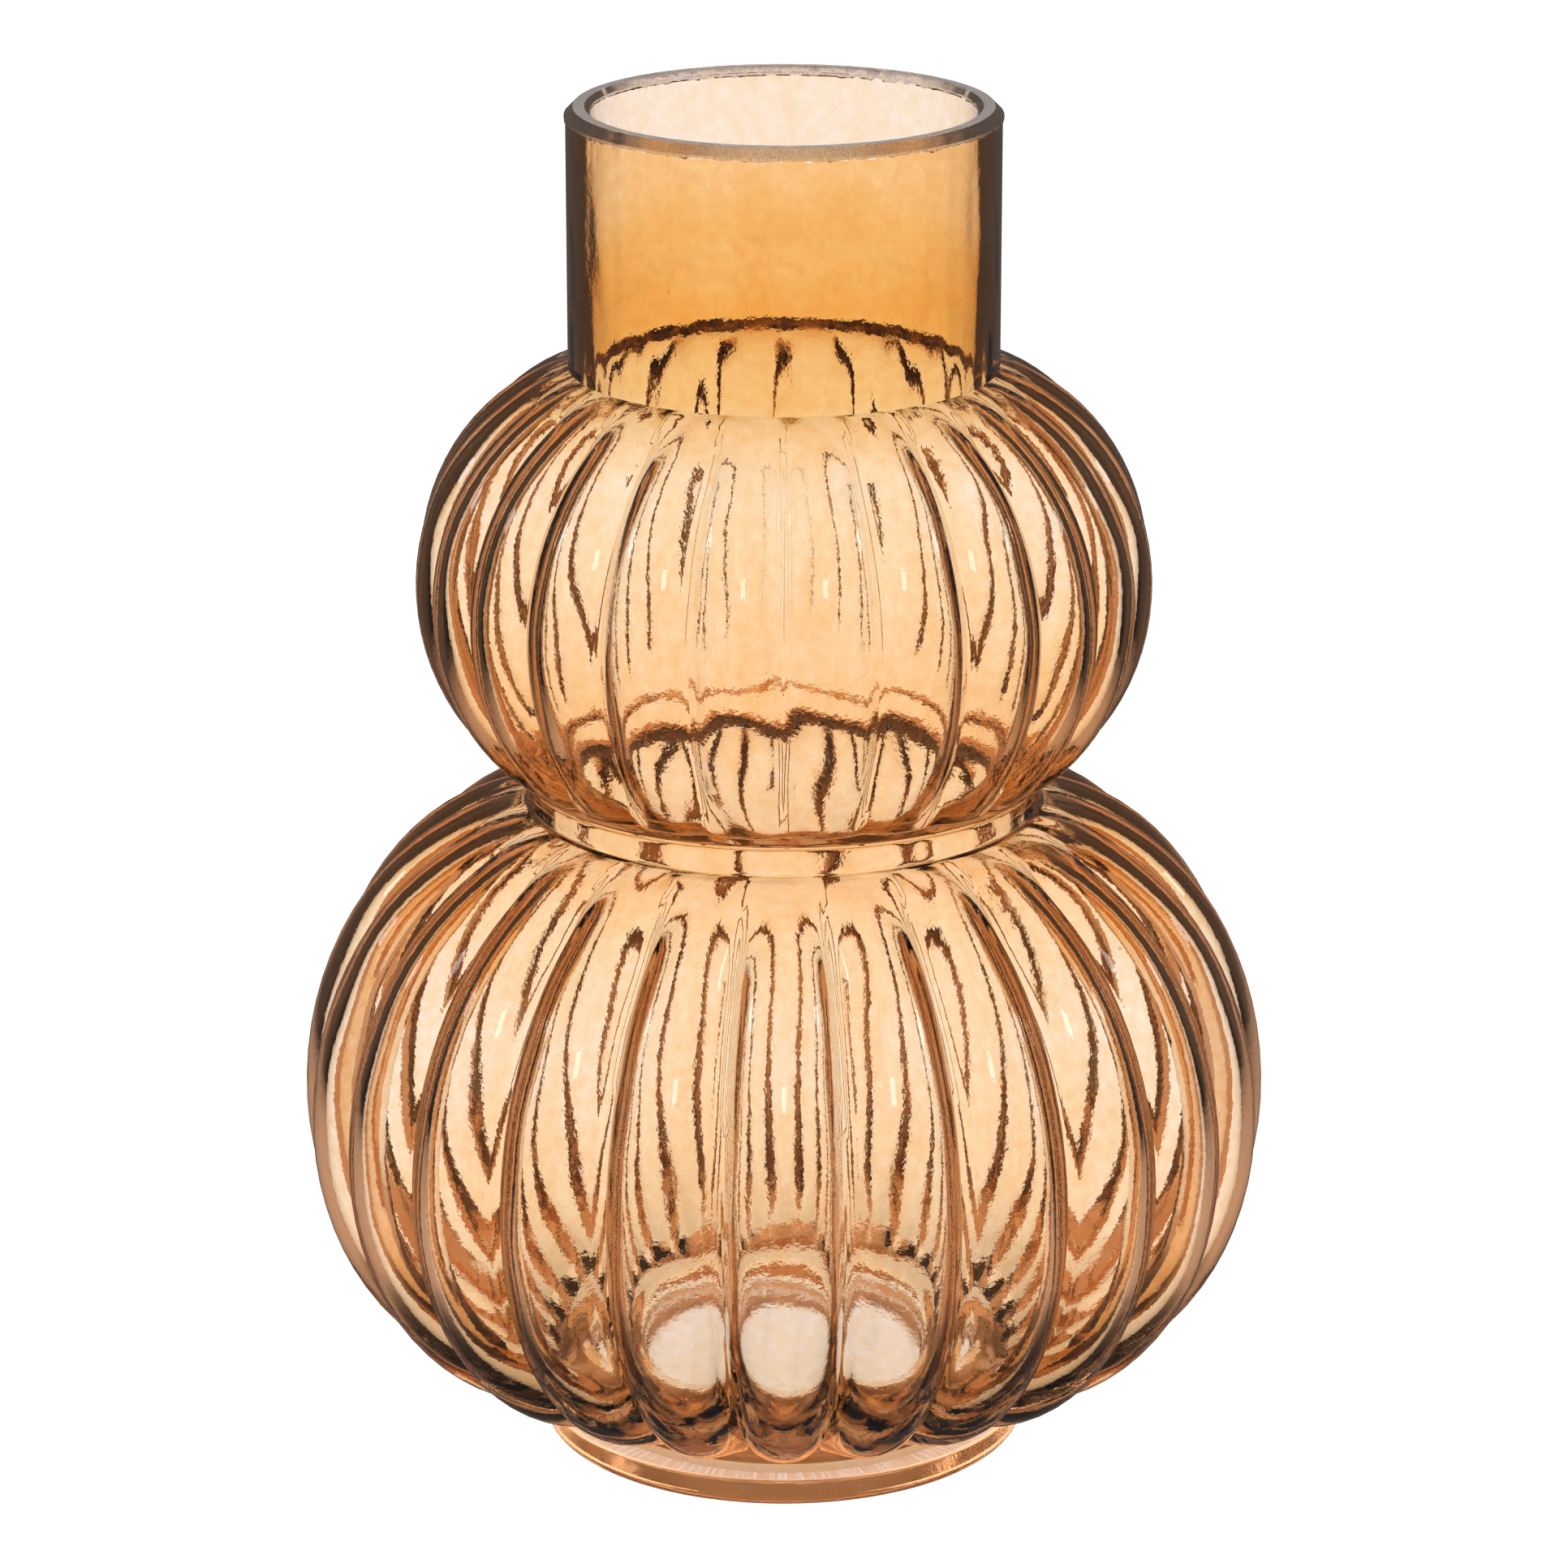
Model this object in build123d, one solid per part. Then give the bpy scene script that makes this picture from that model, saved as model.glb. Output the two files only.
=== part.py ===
from build123d import *
from math import acos, cos, hypot, pi, sin, sqrt
import os

# Driving sizes in millimetres and degrees, from the table upward

# Foot
foot_radius = 44.8
foot_height = 5.3
foot_bottom_round = 2.0
foot_top_round = 0.6
standing_ring_width = 5.5
punt_depth = 1.5
punt_slope_width = 3.0

# Lower bulb, with its stem on the foot and the floor of the vase
stem_radius = 37.5
stem_height = 6.5
floor_radius = 33.5
floor_thickness = 6.7
lower_drop = 53.2
lower_rise = 57.0
lower_radius = 88.7
lower_turn_radius = 43.2
lower_lobe_count = 24
lower_lobe_turn = 0.0
lower_groove_depth = 7.6
lower_fade_under = 28.0
lower_fade_over = 29.0
lower_crest_wall = 2.4
lower_groove_wall = 2.4

# Waist
waist_radius = 46.8
waist_wall = 4.0
waist_height = 5.0

# Upper bulb
upper_drop = 36.5
upper_rise = 39.5
upper_radius = 66.7
upper_turn_radius = 28.7
upper_lobe_count = 24
upper_lobe_turn = 7.5
upper_groove_depth = 3.4
upper_fade_under = 28.0
upper_fade_over = 20.0
upper_crest_wall = 2.4
upper_groove_wall = 2.4

# Neck and ground rim
neck_radius = 38.7
neck_wall = 4.3
neck_height = 44.8
rim_height = 2.2
rim_overhang = 0.25
rim_outer_bevel = 1.6
rim_inner_bevel = 0.9

# How finely the curved glass is followed: steps along a bulb, an even number, and along the stem curve
bulb_steps = 20
stem_steps = 4

# Levels that follow from the sizes
floor_level = foot_height + floor_thickness
underside_level = foot_height + stem_height
lower_middle = underside_level + lower_drop
waist_bottom = lower_middle + lower_rise
waist_top = waist_bottom + waist_height
upper_middle = waist_top + upper_drop
shoulder_level = upper_middle + upper_rise
rim_bottom = shoulder_level + neck_height
overall_height = rim_bottom + rim_height

# Clear radii inside the glass
neck_bore = neck_radius - neck_wall
waist_bore = waist_radius - waist_wall

# How closely edges have to lie at a level or a radius to count as there
match_tolerance = 1e-4


class Station:
    """One point of a bulb's outline over a lobe crest, and how deep the groove lies there."""

    def __init__(self, radius, height, out_radial=1.0, out_up=0.0, depth=0.0):
        self.radius = radius
        self.height = height
        self.out_radial = out_radial
        self.out_up = out_up
        self.depth = depth

    def at(self, sunk, angle):
        """The point this far below the crest, square to the outline, at an angle round the axis."""
        radius = self.radius - sunk * self.out_radial
        height = self.height - sunk * self.out_up
        return Vector(radius * cos(angle), radius * sin(angle), height)


def smooth_step(share):
    share = min(max(share, 0.0), 1.0)
    return share * share * (3.0 - 2.0 * share)


def semi_axis(height, end_radius, turn_radius, swell):
    """Upright half axis of the ellipse that reaches end_radius at this height from the middle."""
    return height * swell / sqrt(swell ** 2 - (end_radius - turn_radius) ** 2)


def bulb_stations(turn_radius, swell, middle, rise, drop, high_angle, low_angle, depth, fade_over, fade_under):
    """Stations down a bulb, closer near its ends: quarter ellipses, with grooves that fade at both ends."""
    stations = []
    for step in range(bulb_steps + 1):
        swing = cos(pi * step / bulb_steps)
        angle = high_angle * swing if swing > 0.0 else -low_angle * swing
        upright = rise if swing > 0.0 else drop
        radius = turn_radius + swell * cos(angle)
        height = middle + upright * sin(angle)
        out_radial = cos(angle) / swell
        out_up = sin(angle) / upright
        length = hypot(out_radial, out_up)
        fade = smooth_step((high_angle - angle) / fade_over) * smooth_step((angle - low_angle) / fade_under)
        local_depth = depth * fade * radius / (turn_radius + swell)
        stations.append(Station(radius, height, out_radial / length, out_up / length, local_depth))
    return stations


def stem_stations(start, end_radius, end_height):
    """Stations of the hollow quarter curve from the underside of a bulb down to an upright wall."""
    stations = []
    for step in range(1, stem_steps + 1):
        angle = pi / 2.0 * step / stem_steps
        radius = start.radius - (start.radius - end_radius) * sin(angle)
        height = end_height + (start.height - end_height) * cos(angle)
        stations.append(Station(radius, height))
    return stations


def crested_section(station, half_angle):
    """A lobe from groove to groove as one arc, which leaves sharp grooves between lobes."""
    left = station.at(station.depth, -half_angle)
    right = station.at(station.depth, half_angle)
    return ThreePointArc(left, station.at(0.0, 0.0), right)


def wavy_section(station, half_angle):
    """A lobe as one wave, which runs on smoothly into the lobes beside it."""
    points = []
    for share in (-1.0, -0.5, 0.0, 0.5, 1.0):
        sunk = station.depth * (1.0 - cos(pi * share)) / 2.0
        points.append(station.at(sunk, half_angle * share))
    start_way = Vector(sin(half_angle), cos(half_angle), 0.0)
    end_way = Vector(-sin(half_angle), cos(half_angle), 0.0)
    return Spline(points, tangents=[start_way, end_way])


def lobed_skin(patches, section, lobe_count, lobe_turn):
    """Loft one lobe through each patch of stations and repeat it round the axis."""
    half_angle = pi / lobe_count
    skin = []
    for patch in patches:
        wires = [Wire([section(station, half_angle)]) for station in patch]
        lobe = Shell.make_loft(wires, ruled=True)
        for index in range(lobe_count):
            skin += lobe.rotate(Axis.Z, lobe_turn + 360.0 * index / lobe_count).faces()
    return skin


def ring_at(skin, level):
    """The closed wire of the skin's edges that lie flat at this level."""
    edges = []
    for face in skin:
        for edge in face.edges():
            box = edge.bounding_box()
            if abs(box.min.Z - level) < match_tolerance and abs(box.max.Z - level) < match_tolerance:
                edges.append(edge)
    return Wire(edges)


def flat_ring(outer_skin, inner_skin, level):
    """The flat end of the wall between two skins that both reach this level."""
    return Face(ring_at(outer_skin, level), [ring_at(inner_skin, level)])


def turned_piece(*corners):
    """A solid turned round the axis from straight-sided corner points given as radius and height."""
    outline = Polyline(*[(radius, 0.0, height) for radius, height in corners], close=True)
    return Solid.revolve(Face(Wire(outline.edges())), 360.0, Axis.Z)


def circles_of_radius(solid, radius):
    """The solid's round edges of this radius, lowest first."""
    circles = solid.edges().filter_by(GeomType.CIRCLE)
    return circles.filter_by(lambda edge: abs(edge.radius - radius) < match_tolerance).sort_by(Axis.Z)


def degrees_to_angle(degrees):
    return degrees * pi / 180.0


# Foot: a low disc with a standing ring round a shallow punt
ring_inner = foot_radius - foot_bottom_round - standing_ring_width
foot = turned_piece(
    (0.0, punt_depth),
    (ring_inner - punt_slope_width, punt_depth),
    (ring_inner, 0.0),
    (foot_radius, 0.0),
    (foot_radius, foot_height),
    (0.0, foot_height),
)
foot = foot.fillet(foot_bottom_round, [circles_of_radius(foot, foot_radius)[0]])
foot = foot.fillet(foot_top_round, [circles_of_radius(foot, foot_radius)[-1]])

# Lower bulb: sharp grooves outside, waves inside, a thick floor, and a hollow stem curve down to the foot
lower_swell = lower_radius - lower_turn_radius
lower_rise_axis = semi_axis(lower_rise, waist_radius, lower_turn_radius, lower_swell)
lower_high_angle = acos((waist_radius - lower_turn_radius) / lower_swell)
lower_outside = bulb_stations(
    lower_turn_radius,
    lower_swell,
    lower_middle,
    lower_rise_axis,
    lower_drop,
    lower_high_angle,
    -pi / 2.0,
    lower_groove_depth,
    degrees_to_angle(lower_fade_over),
    degrees_to_angle(lower_fade_under),
)
lower_outside_stem = stem_stations(lower_outside[-1], stem_radius, foot_height)
lower_inner_swell = lower_swell - lower_crest_wall
lower_inner_high_angle = acos((waist_bore - lower_turn_radius) / lower_inner_swell)
lower_inside = bulb_stations(
    lower_turn_radius,
    lower_inner_swell,
    lower_middle,
    lower_rise_axis - lower_crest_wall,
    lower_drop - lower_crest_wall,
    lower_inner_high_angle,
    -pi / 2.0,
    lower_groove_depth + lower_groove_wall - lower_crest_wall,
    degrees_to_angle(lower_fade_over),
    degrees_to_angle(lower_fade_under),
)
lower_inside_stem = stem_stations(lower_inside[-1], floor_radius, floor_level)
lower_outer_skin = lobed_skin(
    [lower_outside, [lower_outside[-1]] + lower_outside_stem],
    crested_section,
    lower_lobe_count,
    lower_lobe_turn,
)
lower_inner_skin = lobed_skin(
    [[Station(waist_bore, waist_bottom), lower_inside[0]], lower_inside, [lower_inside[-1]] + lower_inside_stem],
    wavy_section,
    lower_lobe_count,
    lower_lobe_turn,
)
lower_ends = [
    flat_ring(lower_outer_skin, lower_inner_skin, waist_bottom),
    Face(ring_at(lower_outer_skin, foot_height)),
    Face(ring_at(lower_inner_skin, floor_level)),
]
lower_bulb = Solid(Shell(lower_outer_skin + lower_inner_skin + lower_ends))

# Waist: a plain ring between the bulbs
waist_collar = turned_piece(
    (waist_bore, waist_bottom),
    (waist_radius, waist_bottom),
    (waist_radius, waist_top),
    (waist_bore, waist_top),
)

# Upper bulb: as the lower one, half a lobe out of step, open at both ends
upper_swell = upper_radius - upper_turn_radius
upper_rise_axis = semi_axis(upper_rise, neck_radius, upper_turn_radius, upper_swell)
upper_drop_axis = semi_axis(upper_drop, waist_radius, upper_turn_radius, upper_swell)
upper_outside = bulb_stations(
    upper_turn_radius,
    upper_swell,
    upper_middle,
    upper_rise_axis,
    upper_drop_axis,
    acos((neck_radius - upper_turn_radius) / upper_swell),
    -acos((waist_radius - upper_turn_radius) / upper_swell),
    upper_groove_depth,
    degrees_to_angle(upper_fade_over),
    degrees_to_angle(upper_fade_under),
)
upper_inner_swell = upper_swell - upper_crest_wall
upper_inside = bulb_stations(
    upper_turn_radius,
    upper_inner_swell,
    upper_middle,
    upper_rise_axis - upper_crest_wall,
    upper_drop_axis - upper_crest_wall,
    acos((neck_bore - upper_turn_radius) / upper_inner_swell),
    -acos((waist_bore - upper_turn_radius) / upper_inner_swell),
    upper_groove_depth + upper_groove_wall - upper_crest_wall,
    degrees_to_angle(upper_fade_over),
    degrees_to_angle(upper_fade_under),
)
upper_outer_skin = lobed_skin([upper_outside], crested_section, upper_lobe_count, upper_lobe_turn)
upper_inner_skin = lobed_skin(
    [
        [Station(neck_bore, shoulder_level), upper_inside[0]],
        upper_inside,
        [upper_inside[-1], Station(waist_bore, waist_top)],
    ],
    wavy_section,
    upper_lobe_count,
    upper_lobe_turn,
)
upper_ends = [flat_ring(upper_outer_skin, upper_inner_skin, level) for level in (shoulder_level, waist_top)]
upper_bulb = Solid(Shell(upper_outer_skin + upper_inner_skin + upper_ends))

# Neck: a plain tube
neck = turned_piece(
    (neck_bore, shoulder_level),
    (neck_radius, shoulder_level),
    (neck_radius, rim_bottom),
    (neck_bore, rim_bottom),
)

# Ground rim: a flat lip with a bevel on each side, standing a little proud of the neck
rim_radius = neck_radius + rim_overhang
ground_rim = turned_piece(
    (neck_bore, rim_bottom),
    (rim_radius, rim_bottom),
    (rim_radius, overall_height - rim_outer_bevel),
    (rim_radius - rim_outer_bevel, overall_height),
    (neck_bore + rim_inner_bevel, overall_height),
    (neck_bore, overall_height - rim_inner_bevel),
)

# One file for each zone of the glass
os.makedirs("parts", exist_ok=True)
zones = {
    "foot": foot,
    "lower_bulb": lower_bulb,
    "waist_collar": waist_collar,
    "upper_bulb": upper_bulb,
    "neck": neck,
    "ground_rim": ground_rim,
}
for name, solid in zones.items():
    export_step(solid, f"parts/{name}.step")
    print(name, "volume", round(solid.volume), "valid", solid.is_valid)
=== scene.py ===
from math import acos, atan, atan2, cos, hypot, pi, radians, sin, sqrt, tan

import bpy
import numpy as np
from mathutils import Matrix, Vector


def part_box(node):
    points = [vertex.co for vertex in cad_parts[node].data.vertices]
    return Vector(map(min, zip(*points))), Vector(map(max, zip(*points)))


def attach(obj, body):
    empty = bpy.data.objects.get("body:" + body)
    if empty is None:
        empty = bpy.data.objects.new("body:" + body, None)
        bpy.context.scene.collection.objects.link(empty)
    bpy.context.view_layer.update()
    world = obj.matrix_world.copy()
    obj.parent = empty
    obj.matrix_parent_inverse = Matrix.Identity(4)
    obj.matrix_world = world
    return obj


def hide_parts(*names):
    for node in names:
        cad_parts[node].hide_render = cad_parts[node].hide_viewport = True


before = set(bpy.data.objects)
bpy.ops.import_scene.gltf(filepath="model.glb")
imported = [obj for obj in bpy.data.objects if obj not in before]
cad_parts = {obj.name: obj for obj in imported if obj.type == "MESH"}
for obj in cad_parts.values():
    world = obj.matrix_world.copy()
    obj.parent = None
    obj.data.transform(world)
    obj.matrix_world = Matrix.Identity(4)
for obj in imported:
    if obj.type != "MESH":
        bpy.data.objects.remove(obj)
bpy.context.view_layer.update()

mm = 0.001

# Levels of the glass, in metres, read from the frame
foot_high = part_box("foot")[1]
waist_low, waist_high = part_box("waist_collar")
neck_low, neck_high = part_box("neck")
rim_low, rim_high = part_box("ground_rim")
foot_top = foot_high[2]
waist_bottom = waist_low[2]
waist_top = waist_high[2]
shoulder = neck_low[2]
rim_bottom = rim_low[2]
rim_top = rim_high[2]

# Radii read from the frame
foot_radius = foot_high[0]
waist_radius = waist_high[0]
neck_radius = neck_high[0]
rim_radius = rim_high[0]

# Sizes of the foot and the floor of the vase
foot_bottom_round = 2.0 * mm
foot_top_round = 0.6 * mm
standing_ring_width = 5.5 * mm
punt_depth = 1.5 * mm
punt_slope_width = 3.0 * mm
stem_radius = 37.5 * mm
stem_height = 6.5 * mm
floor_radius = 33.5 * mm
floor_level = 12.0 * mm
floor_round = 3.0 * mm
pole_radius = 4.0 * mm

# Sizes of the bulbs, the neck and the rim
lobe_count = 24
lower_radius = 88.7 * mm
lower_drop = 53.2 * mm
lower_turn = 43.2 * mm
lower_groove = 7.6 * mm
lower_wall = 2.4 * mm
lower_top_wall = 2.8 * mm
lower_bottom_wall = 6.0 * mm
lower_fade_under = radians(28.0)
lower_fade_over = radians(29.0)
waist_bore = 42.8 * mm
upper_radius = 66.7 * mm
upper_drop = 36.5 * mm
upper_turn = 28.7 * mm
upper_groove = 3.4 * mm
upper_wall = 2.4 * mm
upper_top_wall = 2.6 * mm
upper_bottom_wall = 2.8 * mm
upper_fade_under = radians(28.0)
upper_fade_over = radians(20.0)
neck_bore = 34.4 * mm
bore_turn_height = 3.0 * mm
corner_reach = 1.2 * mm
rim_outer_bevel = 1.6 * mm
rim_inner_bevel = 0.9 * mm
rim_step = 0.2 * mm

# Where along a bulb its wall begins to grow towards the ends
wall_grows_from = radians(25.0)
wall_grows_over = radians(60.0)

# How finely the glass is meshed
columns_per_lobe = 18
lower_rows = 36
upper_rows = 30
neck_steps = 8
waist_steps = 3
corner_steps = 4
turn_steps = 5
round_steps = 6
edge_steps = 3
flat_steps = 4
sharp_from = radians(35.0)
columns = lobe_count * columns_per_lobe
half_lobe = pi / lobe_count

# Hand-blown unevenness inside: a share of the wall in the bulbs, a size of its own in bores and turns
uneven_share = 0.027
bore_ripple = 0.03 * mm
turn_ripple = 0.12 * mm
uneven_waves = 18
uneven_least_around = 3
uneven_most_around = 48
uneven_most_upward = 300.0
uneven_seed = 5

# Chips along the ground edges of the rim
chip_depth = 0.35 * mm
chip_seed = 11

# Material slots
CLEAR = 0
GROUND = 1
FROSTED = 2


class Ring:
    """One ring of the surface: a point of the outline, which way is out, and the groove and wall there."""

    def __init__(
        self, radius, height, out=(1.0, 0.0), depth=0.0, turn=0.0, wall=0.0, slot=CLEAR, chips=0.0, ripple=0.0
    ):
        self.radius = radius
        self.height = height
        self.out_radial = out[0]
        self.out_up = out[1]
        self.depth = depth
        self.turn = turn
        self.wall = wall
        self.slot = slot
        self.chips = chips
        self.ripple = ripple


def smooth_step(share):
    """A share from 0 to 1, eased at both ends."""
    share = min(max(share, 0.0), 1.0)
    return share * share * (3.0 - 2.0 * share)


def semi_axis(height, end_radius, turn_radius, swell):
    """Upright half axis of the ellipse that reaches end_radius at this height from the middle."""
    return height * swell / sqrt(swell ** 2 - (end_radius - turn_radius) ** 2)


def lobe_places(turn):
    """For each column: the azimuth of its lobe's crest, and its place from groove (-1) to groove (1)."""
    shift = round(turn / (2.0 * half_lobe) * columns_per_lobe)
    index = np.arange(columns) - shift + columns_per_lobe // 2
    lobe = np.floor_divide(index, columns_per_lobe)
    place = (index - lobe * columns_per_lobe) / (columns_per_lobe / 2.0) - 1.0
    return turn + lobe * 2.0 * half_lobe, place


def turned_points(azimuth, radial, aside, height):
    """Points from each lobe's own directions to the vase's."""
    return np.stack(
        [
            radial * np.cos(azimuth) - aside * np.sin(azimuth),
            radial * np.sin(azimuth) + aside * np.cos(azimuth),
            height,
        ],
        axis=1,
    )


def outer_points(ring):
    """An outer ring: one arc a lobe, from groove over crest to groove, with sharp grooves between."""
    azimuth, place = lobe_places(ring.turn)
    groove_radius = ring.radius - ring.depth * ring.out_radial
    half_width = groove_radius * sin(half_lobe)
    in_radial = ring.radius - groove_radius * cos(half_lobe)
    in_up = ring.depth * ring.out_up
    sag = hypot(in_radial, in_up)
    arc_radius = (sag ** 2 + half_width ** 2) / (2.0 * sag)
    angle = place * atan2(half_width, arc_radius - sag)
    fall = arc_radius * (1.0 - np.cos(angle))
    radial = ring.radius - fall * in_radial / sag
    height = ring.height - fall * in_up / sag
    return turned_points(azimuth, radial, arc_radius * np.sin(angle), height)


def inner_points(ring):
    """An inner ring: a wall in from the lobe's arc, with a round ridge of the same wall under each groove."""
    azimuth, place = lobe_places(ring.turn)
    spread = 2.0 * pi * np.arange(columns) / columns
    wall = ring.wall * (1.0 + unevenness(spread, ring.height))
    if ring.depth == 0.0:
        ripple = ring.ripple * unevenness(spread, ring.height) / uneven_share
        radial = ring.radius - wall * ring.out_radial + ripple
        height = ring.height - wall * ring.out_up
        return turned_points(spread, radial, np.zeros_like(spread), height)
    groove_radius = ring.radius - ring.depth * ring.out_radial
    half_width = groove_radius * sin(half_lobe)
    sag = ring.depth + groove_radius * (1.0 - cos(half_lobe)) * ring.out_radial
    arc_radius = (sag ** 2 + half_width ** 2) / (2.0 * sag)
    end_angle = atan2(half_width, arc_radius - sag)
    ridge_angle = atan(ring.out_radial * tan(half_lobe))
    arc_run = (arc_radius - ring.wall) * end_angle
    ridge_run = ring.wall * max(end_angle - ridge_angle, 0.0)
    run = np.abs(place) * (arc_run + ridge_run)
    on_arc = run <= arc_run
    angle = np.where(on_arc, run / (arc_radius - ring.wall), end_angle)
    heading = end_angle + pi - np.where(on_arc, 0.0, (run - arc_run) / ring.wall)
    along = np.where(on_arc, (arc_radius - wall) * np.cos(angle), arc_radius - sag + wall * np.cos(heading))
    aside = np.where(on_arc, (arc_radius - wall) * np.sin(angle), half_width + wall * np.sin(heading))
    radial = ring.radius + (along - arc_radius) * ring.out_radial
    height = ring.height + (along - arc_radius) * ring.out_up
    return turned_points(azimuth, radial, aside * np.sign(place), height)


def make_waves():
    """Whole-number waves round the axis, with slow waves up it."""
    rng = np.random.default_rng(uneven_seed)
    around = rng.integers(uneven_least_around, uneven_most_around, uneven_waves)
    upward = rng.uniform(-uneven_most_upward, uneven_most_upward, uneven_waves)
    phase = rng.uniform(0.0, 2.0 * pi, uneven_waves)
    return list(zip(around, upward, phase))


waves = make_waves()


def unevenness(azimuth, height):
    """All waves together at each azimuth of one height, as a share of the wall."""
    total = np.zeros_like(azimuth)
    for around, upward, phase in waves:
        total = total + np.cos(around * azimuth + upward * height + phase)
    return uneven_share * total * sqrt(2.0 / uneven_waves)


class Bulb:
    """The outline of one bulb: quarter ellipses above and below its middle."""

    def __init__(
        self, radius, turn_radius, middle, rise, drop, top_radius, bottom_radius, groove, fades, turn, walls
    ):
        self.turn_radius = turn_radius
        self.swell = radius - turn_radius
        self.middle = middle
        self.rise = semi_axis(rise, top_radius, turn_radius, self.swell)
        self.drop = semi_axis(drop, bottom_radius, turn_radius, self.swell)
        self.high = acos((top_radius - turn_radius) / self.swell)
        self.low = -acos((bottom_radius - turn_radius) / self.swell)
        self.groove = groove
        self.fade_over, self.fade_under = fades
        self.turn = turn
        self.top_wall, self.wall, self.bottom_wall = walls

    def wall_at(self, angle):
        """The wall, growing from the bulb's middle towards its ends."""
        end_wall = self.top_wall if angle > 0.0 else self.bottom_wall
        growth = smooth_step((abs(angle) - wall_grows_from) / wall_grows_over)
        return self.wall + (end_wall - self.wall) * growth

    def rings(self, count):
        """Rings from the bulb's top to its bottom, ends included."""
        rings = []
        for step in range(count + 1):
            angle = self.high + (self.low - self.high) * step / count
            upright = self.rise if angle > 0.0 else self.drop
            radius = self.turn_radius + self.swell * cos(angle)
            height = self.middle + upright * sin(angle)
            out = Vector((cos(angle) / self.swell, sin(angle) / upright)).normalized()
            fade_high = smooth_step((self.high - angle) / self.fade_over)
            fade_low = smooth_step((angle - self.low) / self.fade_under)
            depth = self.groove * fade_high * fade_low * radius / (self.turn_radius + self.swell)
            rings.append(Ring(radius, height, out, depth, self.turn, self.wall_at(angle)))
        return rings


lower_bulb = Bulb(
    radius=lower_radius,
    turn_radius=lower_turn,
    middle=foot_top + stem_height + lower_drop,
    rise=waist_bottom - foot_top - stem_height - lower_drop,
    drop=lower_drop,
    top_radius=waist_radius,
    bottom_radius=lower_turn,
    groove=lower_groove,
    fades=(lower_fade_over, lower_fade_under),
    turn=0.0,
    walls=(lower_top_wall, lower_wall, lower_bottom_wall),
)
upper_bulb = Bulb(
    radius=upper_radius,
    turn_radius=upper_turn,
    middle=waist_top + upper_drop,
    rise=shoulder - waist_top - upper_drop,
    drop=upper_drop,
    top_radius=neck_radius,
    bottom_radius=waist_radius,
    groove=upper_groove,
    fades=(upper_fade_over, upper_fade_under),
    turn=half_lobe,
    walls=(upper_top_wall, upper_wall, upper_bottom_wall),
)


def line_rings(start, end, count, slot=CLEAR, ripple=0.0):
    """Rings inside a straight stretch, its ends left out."""
    rings = []
    for step in range(1, count):
        share = step / count
        radius = start[0] + (end[0] - start[0]) * share
        height = start[1] + (end[1] - start[1]) * share
        rings.append(Ring(radius, height, slot=slot, ripple=ripple))
    return rings


def arc_rings(centre, radius, first, last, count, slot=CLEAR):
    """Rings on a round stretch, ends included, with angles from the outward direction upward."""
    rings = []
    for step in range(count + 1):
        angle = first + (last - first) * step / count
        rings.append(Ring(centre[0] + radius * cos(angle), centre[1] + radius * sin(angle), slot=slot))
    return rings


def stem_rings(start, end, count):
    """The hollow quarter curve from a bulb's underside, start left out, to an upright wall."""
    rings = []
    for step in range(1, count + 1):
        angle = pi / 2.0 * step / count
        radius = start[0] - (start[0] - end[0]) * sin(angle)
        rings.append(Ring(radius, end[1] + (start[1] - end[1]) * cos(angle)))
    return rings


def bore_turn_rings(bulb_end, bore, end_height, count, ripple):
    """The rounded turn from the inside of a bulb's end, left out, into a straight bore."""
    start_radius = bulb_end.radius - bulb_end.wall * bulb_end.out_radial
    start_height = bulb_end.height - bulb_end.wall * bulb_end.out_up
    slope = -bulb_end.out_radial / bulb_end.out_up
    corner_height = start_height + (bore - start_radius) * slope
    rings = []
    for step in range(1, count + 1):
        share = step / count
        start_part = (1.0 - share) ** 2
        corner_part = 2.0 * share * (1.0 - share)
        end_part = share ** 2
        radius = start_part * start_radius + (corner_part + end_part) * bore
        height = start_part * start_height + corner_part * corner_height + end_part * end_height
        rings.append(Ring(radius, height, ripple=ripple))
    return rings


def corner_rings(before, corner, after, count):
    """The small rounding at a corner between two stretches of the outline."""
    middle = Vector((corner.radius, corner.height))
    ends = []
    for other in (before, after):
        way = Vector((other.radius, other.height)) - middle
        ends.append(middle + corner_reach * way.normalized())
    rings = []
    for step in range(count + 1):
        share = step / count
        place = ends[0] * (1.0 - share) ** 2 + middle * 2.0 * share * (1.0 - share) + ends[1] * share ** 2
        rings.append(Ring(place[0], place[1]))
    return rings


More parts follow.
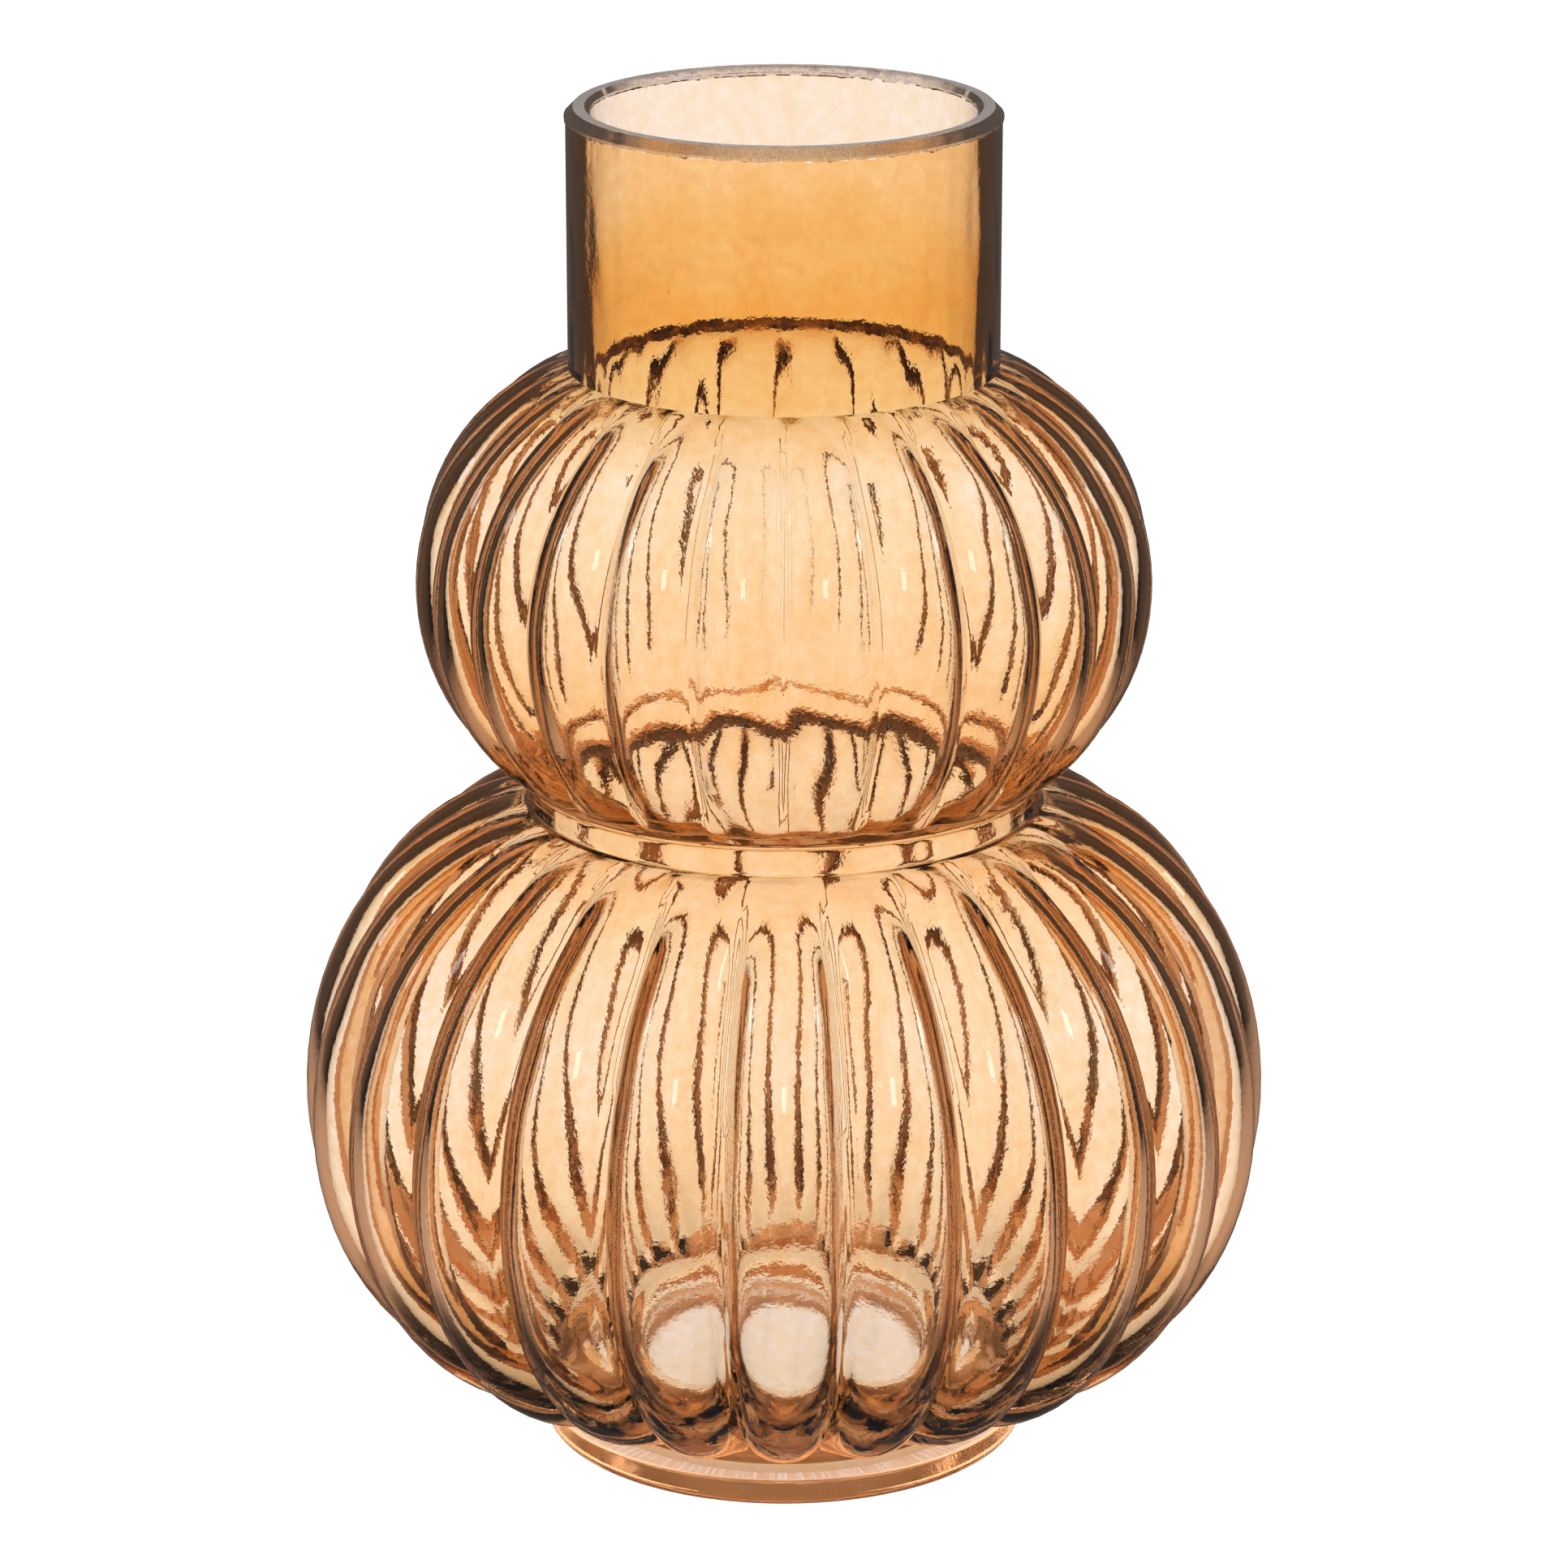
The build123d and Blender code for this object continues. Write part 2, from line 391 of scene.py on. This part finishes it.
def outside_rings():
    """From the middle of the punt, out round the foot and up the outside to the rim's top."""
    ring_inner = foot_radius - foot_bottom_round - standing_ring_width
    punt_flat = ring_inner - punt_slope_width
    bottom_edge = foot_radius - foot_bottom_round
    top_edge = foot_top - foot_top_round
    rings = [Ring(pole_radius, punt_depth, slot=FROSTED)]
    rings += line_rings((pole_radius, punt_depth), (punt_flat, punt_depth), flat_steps, FROSTED)
    rings += [Ring(punt_flat, punt_depth), Ring(ring_inner, 0.0)]
    rings += arc_rings((bottom_edge, foot_bottom_round), foot_bottom_round, -pi / 2, 0.0, round_steps)
    rings += line_rings((foot_radius, foot_bottom_round), (foot_radius, top_edge), edge_steps)
    rings += arc_rings((foot_radius - foot_top_round, top_edge), foot_top_round, 0.0, pi / 2, edge_steps)
    rings += line_rings((foot_radius - foot_top_round, foot_top), (stem_radius, foot_top), edge_steps)
    rings += stem_rings((lower_turn, foot_top + stem_height), (stem_radius, foot_top), turn_steps)[::-1]
    lower = lower_bulb.rings(lower_rows)[::-1]
    upper = upper_bulb.rings(upper_rows)[::-1]
    neck_end = Ring(neck_radius, rim_bottom, chips=chip_depth)
    rings += lower[:-1] + corner_rings(lower[-2], lower[-1], upper[0], corner_steps)
    rings += line_rings((waist_radius, waist_bottom), (waist_radius, waist_top), waist_steps)
    rings += corner_rings(lower[-1], upper[0], upper[1], corner_steps) + upper[1:]
    rings += line_rings((neck_radius, shoulder), (neck_radius, rim_bottom), neck_steps)
    rings += [neck_end]
    rings += [Ring(rim_radius, rim_bottom + rim_step, slot=GROUND, chips=chip_depth)]
    rings += [Ring(rim_radius, rim_top - rim_outer_bevel, slot=GROUND)]
    rings += [Ring(rim_radius - rim_outer_bevel, rim_top, slot=GROUND)]
    rings += [Ring(neck_bore + rim_inner_bevel, rim_top, slot=GROUND)]
    return rings


def inside_rings():
    """From the rim's inner bevel down the inside to the middle of the floor."""
    upper = upper_bulb.rings(upper_rows)
    lower = lower_bulb.rings(lower_rows)
    neck_end = shoulder - bore_turn_height / 2.0
    waist_end_high = waist_top + bore_turn_height / 2.0
    waist_end_low = waist_bottom - bore_turn_height / 2.0
    top_turn = bore_turn_rings(upper[0], neck_bore, neck_end, turn_steps, turn_ripple)[::-1]
    waist_turn = bore_turn_rings(upper[-1], waist_bore, waist_end_high, turn_steps, bore_ripple)
    low_turn = bore_turn_rings(lower[0], waist_bore, waist_end_low, turn_steps, bore_ripple)[::-1]
    lip = (neck_bore, rim_top - rim_inner_bevel)
    underside = lower[-1].height + lower_bottom_wall
    corner = floor_level + floor_round
    floor_flat = floor_radius - floor_round
    rings = [Ring(*lip, chips=chip_depth)]
    rings += line_rings(lip, (neck_bore, neck_end), neck_steps, ripple=bore_ripple)
    rings += top_turn + upper + waist_turn
    bore_ends = ((waist_bore, waist_end_high), (waist_bore, waist_end_low))
    rings += line_rings(*bore_ends, waist_steps, ripple=bore_ripple)
    rings += low_turn + lower
    rings += stem_rings((lower_turn, underside), (floor_radius, corner), turn_steps)
    rings += arc_rings((floor_flat, corner), floor_round, 0.0, -pi / 2, turn_steps, FROSTED)[1:]
    rings += line_rings((floor_flat, floor_level), (pole_radius, floor_level), flat_steps, FROSTED)
    rings += [Ring(pole_radius, floor_level, slot=FROSTED)]
    return rings


def chipped(rings, rows):
    """Lower the points of the ground edges here and there, as the grinding has chipped them."""
    rng = np.random.default_rng(chip_seed)
    for ring, row in zip(rings, rows):
        rough = rng.normal(size=columns)
        smooth = (np.roll(rough, 1) + rough + np.roll(rough, -1)) / 3.0
        row[:, 2] -= ring.chips * np.maximum(smooth, 0.0)
    return rows


def glass_mesh():
    """One closed surface: every ring joined to the next, with a fan at the punt and one at the floor."""
    outside = outside_rings()
    inside = inside_rings()
    rows = [outer_points(ring) for ring in outside] + [inner_points(ring) for ring in inside]
    rows = chipped(outside + inside, rows)
    slots = [ring.slot for ring in outside + inside]
    poles = [[0.0, 0.0, punt_depth], [0.0, 0.0, floor_level]]
    points = np.concatenate(rows + [poles])
    column = np.arange(columns)
    following = (column + 1) % columns
    faces = []
    face_slots = []
    for row in range(len(rows) - 1):
        near = row * columns
        far = near + columns
        faces += np.stack([near + column, near + following, far + following, far + column], axis=1).tolist()
        face_slots += [slots[row]] * columns
    last = (len(rows) - 1) * columns
    punt_pole = len(rows) * columns
    floor_pole = punt_pole + 1
    faces += [[punt_pole, int(following[index]), index] for index in range(columns)]
    faces += [[floor_pole, last + index, last + int(following[index])] for index in range(columns)]
    face_slots += [FROSTED] * (2 * columns)
    mesh = bpy.data.meshes.new("glass_vase")
    mesh.from_pydata(points.tolist(), [], faces)
    mesh.polygons.foreach_set("material_index", face_slots)
    mesh.shade_smooth()
    mesh.set_sharp_from_angle(angle=sharp_from)
    mesh.update()
    return mesh


# Colour sockets of the mixing node, which are known by number
first_colour = 6
second_colour = 7
mixed_colour = 2

# Noise patterns: the usual detail, and the scale where the place is stretched already
plain_detail = 2.0
stretched_scale = 1.0
white = (1.0, 1.0, 1.0)


def new_material(name):
    """A new material with its nodes, links and shader."""
    material = bpy.data.materials.new(name)
    material.use_nodes = True
    nodes = material.node_tree.nodes
    return material, nodes, material.node_tree.links, nodes["Principled BSDF"]


def feed(links, value, socket):
    """Set a socket to a number, or link another node's output to it."""
    if isinstance(value, (int, float)):
        socket.default_value = value
    else:
        links.new(value, socket)


def calculate(nodes, links, operation, *values):
    """The result of one sum on numbers or outputs."""
    node = nodes.new("ShaderNodeMath")
    node.operation = operation
    for index, value in enumerate(values):
        feed(links, value, node.inputs[index])
    return node.outputs["Value"]


def rescale(nodes, links, value, low, high, to_low, to_high):
    """A value carried smoothly from one span to another, and held at its ends."""
    node = nodes.new("ShaderNodeMapRange")
    node.interpolation_type = "SMOOTHSTEP"
    node.inputs["From Min"].default_value = low
    node.inputs["From Max"].default_value = high
    node.inputs["To Min"].default_value = to_low
    node.inputs["To Max"].default_value = to_high
    links.new(value, node.inputs["Value"])
    return node.outputs["Result"]


def colour_steps(nodes, links, value, steps):
    """Colours blended between steps of a value from 0 to 1."""
    node = nodes.new("ShaderNodeValToRGB")
    elements = node.color_ramp.elements
    elements.remove(elements[-1])
    elements[0].position = steps[0][0]
    elements[0].color = (*steps[0][1], 1.0)
    for position, colour in steps[1:]:
        elements.new(position).color = (*colour, 1.0)
    links.new(value, node.inputs["Fac"])
    return node.outputs["Color"]


def multiply_colours(nodes, links, first, second):
    """Two colours multiplied."""
    node = nodes.new("ShaderNodeMix")
    node.data_type = "RGBA"
    node.blend_type = "MULTIPLY"
    node.inputs["Factor"].default_value = 1.0
    links.new(first, node.inputs[first_colour])
    links.new(second, node.inputs[second_colour])
    return node.outputs[mixed_colour]


def noise(nodes, links, place, scale, detail=plain_detail):
    """A cloudy pattern from 0 to 1."""
    node = nodes.new("ShaderNodeTexNoise")
    node.inputs["Scale"].default_value = scale
    node.inputs["Detail"].default_value = detail
    links.new(place, node.inputs["Vector"])
    return node.outputs["Fac"]


def split(nodes, links, vector):
    """The X, Y and Z of a vector."""
    node = nodes.new("ShaderNodeSeparateXYZ")
    links.new(vector, node.inputs["Vector"])
    return node.outputs


def stretched(nodes, links, place, across, upright):
    """A place scaled by different amounts across and up, for patterns that run upright."""
    node = nodes.new("ShaderNodeMapping")
    node.inputs["Scale"].default_value = (across, across, upright)
    links.new(place, node.inputs["Vector"])
    return node.outputs["Vector"]


def add_bump(nodes, links, shader, height, strength, distance):
    """Fine relief on the surface."""
    bump = nodes.new("ShaderNodeBump")
    bump.inputs["Strength"].default_value = strength
    bump.inputs["Distance"].default_value = distance
    links.new(height, bump.inputs["Height"])
    links.new(bump.outputs["Normal"], shader.inputs["Normal"])


# Tint of one wall of glass, by height above the table: deepest at the foot's bottom edge, deep in the foot,
# deeper at the waist and the neck, palest in the bulbs
tint_levels = [
    (0.0, (0.62, 0.31, 0.14)),
    (2.0 * mm, (0.76, 0.44, 0.20)),
    (5.0 * mm, (0.66, 0.42, 0.23)),
    (9.0 * mm, (0.93, 0.73, 0.52)),
    (30.0 * mm, (0.96, 0.80, 0.62)),
    (55.0 * mm, (0.99, 0.92, 0.86)),
    (95.0 * mm, (0.99, 0.92, 0.85)),
    (112.0 * mm, (0.978, 0.82, 0.62)),
    (120.0 * mm, (0.97, 0.74, 0.50)),
    (127.0 * mm, (0.97, 0.74, 0.50)),
    (138.0 * mm, (0.965, 0.77, 0.55)),
    (152.0 * mm, (0.978, 0.845, 0.68)),
    (168.0 * mm, (0.99, 0.92, 0.85)),
    (192.0 * mm, (0.988, 0.90, 0.79)),
    (204.0 * mm, (0.925, 0.66, 0.33)),
    (221.0 * mm, (0.92, 0.64, 0.30)),
    (231.0 * mm, (0.955, 0.77, 0.54)),
]
glass_ior = 1.5
amber_clear = 1.0
amber_rough = 0.0
mottle_scale = 420.0
mottle_steps = [(0.36, white), (0.64, (0.975, 0.89, 0.77))]
streak_across = 110.0
streak_upright = 18.0
streak_steps = [(0.4, white), (0.6, (0.99, 0.945, 0.87))]
speck_scale = 150.0
speck_size = 0.07
speck_share = 0.86
speck_steps = [(0.0, white), (1.0, (0.6, 0.45, 0.35))]
ripple_scale = 300.0
grain_scale = 1400.0
grain_share = 0.4
ripple_strength = 0.05
ripple_height = 0.4 * mm


def glass_material(name, clear, rough):
    """A new glass material with its nodes, links and shader, and the place on the vase for its patterns."""
    material, nodes, links, shader = new_material(name)
    shader.inputs["Transmission Weight"].default_value = clear
    shader.inputs["Roughness"].default_value = rough
    shader.inputs["IOR"].default_value = glass_ior
    place = nodes.new("ShaderNodeTexCoord").outputs["Object"]
    return material, nodes, links, shader, place


def amber_glass():
    """Clear amber glass: tinted by height, with clouds, upright streaks, a few specks and a light ripple."""
    material, nodes, links, shader, place = glass_material("amber_glass", amber_clear, amber_rough)
    share = calculate(nodes, links, "DIVIDE", split(nodes, links, place)["Z"], rim_top)
    tint = colour_steps(nodes, links, share, [(height / rim_top, colour) for height, colour in tint_levels])
    mottle = colour_steps(nodes, links, noise(nodes, links, place, mottle_scale), mottle_steps)
    cells = nodes.new("ShaderNodeTexVoronoi")
    cells.inputs["Scale"].default_value = speck_scale
    links.new(place, cells.inputs["Vector"])
    near = calculate(nodes, links, "LESS_THAN", cells.outputs["Distance"], speck_size)
    chosen = calculate(nodes, links, "GREATER_THAN", cells.outputs["Color"], speck_share)
    speck = calculate(nodes, links, "MULTIPLY", near, chosen)
    specks = colour_steps(nodes, links, speck, speck_steps)
    upright_place = stretched(nodes, links, place, streak_across, streak_upright)
    streak = colour_steps(nodes, links, noise(nodes, links, upright_place, stretched_scale), streak_steps)
    clouded = multiply_colours(nodes, links, multiply_colours(nodes, links, tint, mottle), streak)
    links.new(multiply_colours(nodes, links, clouded, specks), shader.inputs["Base Color"])
    ripple = noise(nodes, links, place, ripple_scale)
    grain = calculate(nodes, links, "MULTIPLY", noise(nodes, links, place, grain_scale), grain_share)
    relief = calculate(nodes, links, "ADD", ripple, grain)
    add_bump(nodes, links, shader, relief, ripple_strength, ripple_height)
    return material


# Ground glass of the lip
stroke_around = 2600.0
stroke_upright = 250.0
stroke_detail = 3.0
ground_clear = 0.9
ground_rough = 0.3
stroke_steps = [(0.3, (0.3, 0.2, 0.13)), (0.7, (0.7, 0.52, 0.38))]
stroke_strength = 0.35
stroke_height = 0.1 * mm


def ground_glass():
    """Satin ground glass on the lip, with fine upright grinding strokes."""
    material, nodes, links, shader, place = glass_material("ground_glass", ground_clear, ground_rough)
    upright_place = stretched(nodes, links, place, stroke_around, stroke_upright)
    stroke = noise(nodes, links, upright_place, stretched_scale, stroke_detail)
    links.new(colour_steps(nodes, links, stroke, stroke_steps), shader.inputs["Base Color"])
    add_bump(nodes, links, shader, stroke, stroke_strength, stroke_height)
    return material


# Frosted glass of the floor and the punt
frost_clear = 0.92
frost_rough = 0.08
frost_scale = 700.0
frost_detail = 4.0
frost_steps = [(0.35, (0.97, 0.93, 0.88)), (0.65, (0.99, 0.97, 0.95))]
frost_strength = 0.2
frost_height = 0.2 * mm


def frosted_glass():
    """Pale glass, a little frosted."""
    material, nodes, links, shader, place = glass_material("frosted_glass", frost_clear, frost_rough)
    frost = noise(nodes, links, place, frost_scale, frost_detail)
    links.new(colour_steps(nodes, links, frost, frost_steps), shader.inputs["Base Color"])
    add_bump(nodes, links, shader, frost, frost_strength, frost_height)
    return material


def add_glass():
    """The whole vase as one piece, in place of all six solids."""
    vase = bpy.data.objects.new("glass_vase", glass_mesh())
    bpy.context.scene.collection.objects.link(vase)
    vase.data.materials.append(amber_glass())
    vase.data.materials.append(ground_glass())
    vase.data.materials.append(frosted_glass())
    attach(vase, "root")
    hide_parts("foot", "lower_bulb", "waist_collar", "upper_bulb", "neck", "ground_rim")


# Studio: white as seen through the glass, and dimmer light with dark flags where glass throws it back
floor_half = 4.0
seen_white = 1.22
one_wall_white = 1.5
one_wall_cool = (0.74, 0.8, 1.0)
mirrored_light = 0.1
limb_far = 0.07
limb_foot = 2.0
limb_floor = 0.6
limb_reach = 0.15
limb_fade = 0.45
thrown_white = 1.0
thrown_dark = 0.05
thrown_fade = 0.85
few_thrown_light = 0.7
thrown_warmth = (1.0, 0.59, 0.37)
flag_begins = 0.8
flag_full = 1.15

# Bounds between whole counts of crossings and throws: any at all, one throw only, past one wall's two sides
any_at_all = 0.5
few_throws = 1.5
one_wall_sides = 2.5

# Shade on the floor under the overhanging bulb, as it is found through the glass
shade_inner = 45.0 * mm
shade_outer = 125.0 * mm
shade_dark = 0.7
thrown_shade = 15.0
shade_turn = 20.0 * mm


def choose(nodes, links, condition, yes, no):
    """One of two values, by a condition that is 0 or 1."""
    node = nodes.new("ShaderNodeMix")
    node.data_type = "FLOAT"
    links.new(condition, node.inputs["Factor"])
    feed(links, no, node.inputs["A"])
    feed(links, yes, node.inputs["B"])
    return node.outputs["Result"]


def studio_light(nodes, links, outward, shade, limb_near):
    """Brightness and colour by how often light crossed glass or was thrown back in it, and from where."""
    path = nodes.new("ShaderNodeLightPath")
    crossed = path.outputs["Transmission Depth"]
    reflected = path.outputs["Glossy Depth"]
    in_glass = calculate(nodes, links, "GREATER_THAN", crossed, any_at_all)
    past_wall = calculate(nodes, links, "GREATER_THAN", crossed, one_wall_sides)
    thrown = calculate(nodes, links, "GREATER_THAN", reflected, any_at_all)

    # Light thrown back in the glass, with dark flags left and right
    parts = split(nodes, links, outward)
    across = calculate(nodes, links, "ABSOLUTE", parts["X"])
    along = calculate(nodes, links, "ABSOLUTE", parts["Y"])
    slant = calculate(nodes, links, "ARCTAN2", across, along)
    flag = rescale(nodes, links, slant, flag_begins, flag_full, thrown_white, thrown_dark)
    more = calculate(nodes, links, "SUBTRACT", reflected, 1.0)
    fade = calculate(nodes, links, "POWER", thrown_fade, more)
    flagged = calculate(nodes, links, "MULTIPLY", flag, fade)
    few = calculate(nodes, links, "LESS_THAN", reflected, few_throws)
    far_light = choose(nodes, links, few, few_thrown_light, flagged)
    far_limb = calculate(nodes, links, "MULTIPLY", flag, limb_far)
    limb_light = calculate(nodes, links, "MAXIMUM", far_limb, limb_near)
    near_light = choose(nodes, links, in_glass, limb_light, mirrored_light)
    thrown_light = choose(nodes, links, past_wall, far_light, near_light)

    # Light that only passes through, and the shade on it, deeper in front for thrown light
    through_one = choose(nodes, links, in_glass, one_wall_white, seen_white)
    seen_light = choose(nodes, links, past_wall, seen_white, through_one)
    light = choose(nodes, links, thrown, thrown_light, seen_light)
    power = rescale(nodes, links, parts["Y"], -shade_turn, shade_turn, thrown_shade, 1.0)
    deep_shade = calculate(nodes, links, "POWER", shade, power)
    shaded = calculate(nodes, links, "MULTIPLY", light, choose(nodes, links, thrown, deep_shade, shade))

    # Cool light through one wall, warm light where it is thrown back
    near_wall = calculate(nodes, links, "SUBTRACT", in_glass, past_wall)
    only_near = calculate(nodes, links, "SUBTRACT", near_wall, thrown)
    cool = calculate(nodes, links, "GREATER_THAN", only_near, any_at_all)
    warm = calculate(nodes, links, "MULTIPLY", thrown, in_glass)
    cooled = colour_steps(nodes, links, cool, [(0.0, white), (1.0, one_wall_cool)])
    warmed = colour_steps(nodes, links, warm, [(0.0, white), (1.0, thrown_warmth)])
    colour = multiply_colours(nodes, links, cooled, warmed)
    return choose(nodes, links, in_glass, shaded, light), colour


def floor_reach(nodes, links, place):
    """How far a point of the floor lies from the axis."""
    parts = split(nodes, links, place)
    across = calculate(nodes, links, "POWER", parts["X"], 2.0)
    along = calculate(nodes, links, "POWER", parts["Y"], 2.0)
    return calculate(nodes, links, "SQRT", calculate(nodes, links, "ADD", across, along))


def floor_shade(nodes, links, reach, under_foot):
    """Full light under the foot, a dark ring under the bulb, and full light further out."""
    ring = rescale(nodes, links, reach, shade_inner, shade_outer, shade_dark, 1.0)
    return choose(nodes, links, under_foot, 1.0, ring)


def add_floor():
    """A plain pale floor that glows evenly where it is seen past the glass."""
    mesh = bpy.data.meshes.new("floor")
    corners = [(-floor_half, -floor_half, 0.0), (floor_half, -floor_half, 0.0)]
    corners += [(floor_half, floor_half, 0.0), (-floor_half, floor_half, 0.0)]
    mesh.from_pydata(corners, [], [(0, 1, 2, 3)])
    floor = bpy.data.objects.new("floor", mesh)
    bpy.context.scene.collection.objects.link(floor)
    material, nodes, links, shader = new_material("floor")
    nodes.remove(shader)
    place = nodes.new("ShaderNodeNewGeometry").outputs["Position"]
    glow = nodes.new("ShaderNodeEmission")
    reach = floor_reach(nodes, links, place)
    under_foot = calculate(nodes, links, "LESS_THAN", reach, shade_inner)
    shade = floor_shade(nodes, links, reach, under_foot)
    limb_out = rescale(nodes, links, reach, limb_reach, limb_fade, limb_floor, 0.0)
    limb_near = choose(nodes, links, under_foot, limb_foot, limb_out)
    strength, colour = studio_light(nodes, links, place, shade, limb_near)
    links.new(strength, glow.inputs["Strength"])
    links.new(colour, glow.inputs["Color"])
    links.new(glow.outputs["Emission"], nodes["Material Output"].inputs["Surface"])
    floor.data.materials.append(material)


def add_world():
    """The plain white surroundings."""
    world = bpy.data.worlds.new("studio")
    bpy.context.scene.world = world
    world.use_nodes = True
    nodes = world.node_tree.nodes
    links = world.node_tree.links
    way = nodes.new("ShaderNodeTexCoord").outputs["Generated"]
    strength, colour = studio_light(nodes, links, way, 1.0, 0.0)
    links.new(strength, nodes["Background"].inputs["Strength"])
    links.new(colour, nodes["Background"].inputs["Color"])


def add_light(name, place, aim, size, watts):
    """A square lamp that isn't seen through the glass."""
    light = bpy.data.lights.new(name, "AREA")
    light.shape = "SQUARE"
    light.size = size
    light.energy = watts
    lamp = bpy.data.objects.new(name, light)
    bpy.context.scene.collection.objects.link(lamp)
    lamp.location = place
    way = Vector(aim) - Vector(place)
    lamp.rotation_euler = way.to_track_quat("-Z", "Y").to_euler()
    lamp.visible_transmission = False


# Soft lamps round the vase, seen only as small highlights on the lobes
lamp_count = 4
lamp_distance = 1.8
lamp_elevation = radians(30.0)
lamp_size = 0.26
lamp_watts = 1.3
lamp_aim = (0.0, 0.0, 0.12)


def add_lights():
    """Lamps spread evenly round the vase."""
    for index in range(lamp_count):
        around = 2.0 * pi * index / lamp_count
        reach = lamp_distance * cos(lamp_elevation)
        place = (reach * sin(around), -reach * cos(around), lamp_distance * sin(lamp_elevation))
        add_light(f"lamp_{index}", place, lamp_aim, lamp_size, lamp_watts)


# Camera of the photograph
camera_distance = 1.11482
camera_elevation = radians(17.79)
camera_aim = 0.12399
camera_lens = 139.94
camera_sensor = 36.0
camera_near = 0.01
camera_far = 50.0


def add_camera():
    """The camera in front of the vase, looking down at its axis."""
    data = bpy.data.cameras.new("camera")
    data.lens = camera_lens
    data.sensor_width = camera_sensor
    data.clip_start = camera_near
    data.clip_end = camera_far
    camera = bpy.data.objects.new("camera", data)
    bpy.context.scene.collection.objects.link(camera)
    camera.location = (
        0.0,
        -camera_distance * cos(camera_elevation),
        camera_aim + camera_distance * sin(camera_elevation),
    )
    camera.rotation_euler = (pi / 2.0 - camera_elevation, 0.0, 0.0)
    bpy.context.scene.camera = camera


# How often light is followed through the glass, off its surfaces and off matt ones
glass_bounces = 32
mirror_bounces = 16
matt_bounces = 3


def set_rendering():
    """Plain colours, and light followed long enough to find its way through the glass."""
    scene = bpy.context.scene
    scene.view_settings.view_transform = "Standard"
    scene.cycles.max_bounces = glass_bounces
    scene.cycles.transmission_bounces = glass_bounces
    scene.cycles.glossy_bounces = mirror_bounces
    scene.cycles.diffuse_bounces = matt_bounces


add_glass()
add_floor()
add_world()
add_lights()
add_camera()
set_rendering()
